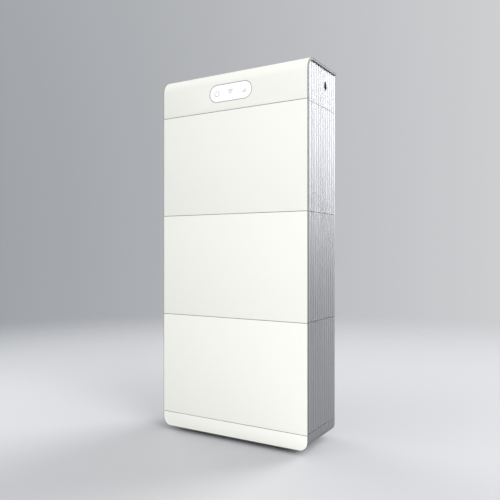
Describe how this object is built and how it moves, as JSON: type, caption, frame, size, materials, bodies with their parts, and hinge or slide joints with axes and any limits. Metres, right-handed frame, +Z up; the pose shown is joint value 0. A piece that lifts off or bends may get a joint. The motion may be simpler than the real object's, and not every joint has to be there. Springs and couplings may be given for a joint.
{
  "type": "stacked home battery unit",
  "caption": "Tall slim home battery stack: base on levelling feet, plug-together battery modules, and a head with display, power switch and port tray, between ribbed aluminium sides.",
  "frame": {"origin": "on the floor, under the middle of the unit's width and depth", "axes": "+Z up, +Y towards the wall, so the front faces -Y, and +X to the right as seen from the front"},
  "size_m": [0.6, 0.246, 1.317],
  "materials": {
    "white_coat": "satin powder coat",
    "ribbed_aluminium": "extruded, satin anodised",
    "grey_coat": "fine texture powder coat",
    "display_white": "gloss",
    "grey_plastic": "moulded satin",
    "black_plastic": "moulded fine texture",
    "board_green": "solder mask",
    "cell_film": "wrapped film",
    "copper": "rolled copper",
    "rubber": "moulded matt",
    "zinc_steel": "bright zinc plate"
  },
  "bodies": {
    "base": {"base_front_cover": "white_coat", "base_side_panel_right": "ribbed_aluminium", "base_side_panel_left": "ribbed_aluminium", "base_housing": "grey_coat", "base_socket": "black_plastic"},
    "battery_1": {"battery_1_front_cover": "white_coat", "battery_1_side_panel_right": "ribbed_aluminium", "battery_1_side_panel_left": "ribbed_aluminium", "battery_1_housing": "grey_coat", "battery_1_cell_block": "cell_film", "battery_1_management_board": "board_green", "battery_1_bus_bar": "copper", "battery_1_plug": "black_plastic", "battery_1_socket": "black_plastic"},
    "battery_2": {"battery_2_front_cover": "white_coat", "battery_2_side_panel_right": "ribbed_aluminium", "battery_2_side_panel_left": "ribbed_aluminium", "battery_2_housing": "grey_coat", "battery_2_cell_block": "cell_film", "battery_2_management_board": "board_green", "battery_2_bus_bar": "copper", "battery_2_plug": "black_plastic", "battery_2_socket": "black_plastic"},
    "battery_3": {"battery_3_front_cover": "white_coat", "battery_3_side_panel_right": "ribbed_aluminium", "battery_3_side_panel_left": "ribbed_aluminium", "battery_3_housing": "grey_coat", "battery_3_cell_block": "cell_film", "battery_3_management_board": "board_green", "battery_3_bus_bar": "copper", "battery_3_plug": "black_plastic", "battery_3_socket": "black_plastic"},
    "head": {"head_cover": "white_coat", "head_side_panel_right": "ribbed_aluminium", "head_side_panel_left": "ribbed_aluminium", "head_housing": "grey_coat", "head_plug": "black_plastic", "display_ring": "grey_plastic", "display_window": "display_white", "display_board": "board_green", "control_board": "board_green", "dc_breaker": "black_plastic", "switch_ring": "black_plastic", "switch_body": "black_plastic", "port_tray": "black_plastic", "positive_port": "grey_plastic", "negative_port": "black_plastic", "data_port": "grey_plastic", "earth_stud": "zinc_steel", "wall_bracket_right": "zinc_steel", "wall_bracket_left": "zinc_steel"},
    "switch_rocker": {"switch_rocker": "black_plastic"},
    "breaker_lever": {"breaker_lever": "grey_plastic"},
    "levelling_foot_1": {"levelling_foot_1": "rubber"},
    "levelling_foot_2": {"levelling_foot_2": "rubber"},
    "levelling_foot_3": {"levelling_foot_3": "rubber"},
    "levelling_foot_4": {"levelling_foot_4": "rubber"}
  },
  "joints": [
    {"name": "battery_1_lift", "type": "slide", "parent": "base", "child": "battery_1", "axis": [0, 0, 1], "range_m": [0, 0.05]},
    {"name": "battery_2_lift", "type": "slide", "parent": "battery_1", "child": "battery_2", "axis": [0, 0, 1], "range_m": [0, 0.05]},
    {"name": "battery_3_lift", "type": "slide", "parent": "battery_2", "child": "battery_3", "axis": [0, 0, 1], "range_m": [0, 0.05]},
    {"name": "head_lift", "type": "slide", "parent": "battery_3", "child": "head", "axis": [0, 0, 1], "range_m": [0, 0.05]},
    {"name": "switch_rocker_tilt", "type": "hinge", "parent": "head", "child": "switch_rocker", "pos_m": [0.2876, 0.0327, 1.25], "axis": [0, -1, 0], "range_deg": [0, 12]},
    {"name": "breaker_lever_throw", "type": "hinge", "parent": "head", "child": "breaker_lever", "pos_m": [-0.15, -0.07, 1.2345], "axis": [1, 0, 0], "range_deg": [0, 45]},
    {"name": "levelling_foot_1_turn", "type": "hinge", "parent": "base", "child": "levelling_foot_1", "pos_m": [-0.215, -0.05, 0], "axis": [0, 0, 1], "continuous": true},
    {"name": "levelling_foot_2_turn", "type": "hinge", "parent": "base", "child": "levelling_foot_2", "pos_m": [0.215, -0.05, 0], "axis": [0, 0, 1], "continuous": true},
    {"name": "levelling_foot_3_turn", "type": "hinge", "parent": "base", "child": "levelling_foot_3", "pos_m": [-0.215, 0.08, 0], "axis": [0, 0, 1], "continuous": true},
    {"name": "levelling_foot_4_turn", "type": "hinge", "parent": "base", "child": "levelling_foot_4", "pos_m": [0.215, 0.08, 0], "axis": [0, 0, 1], "continuous": true}
  ]
}
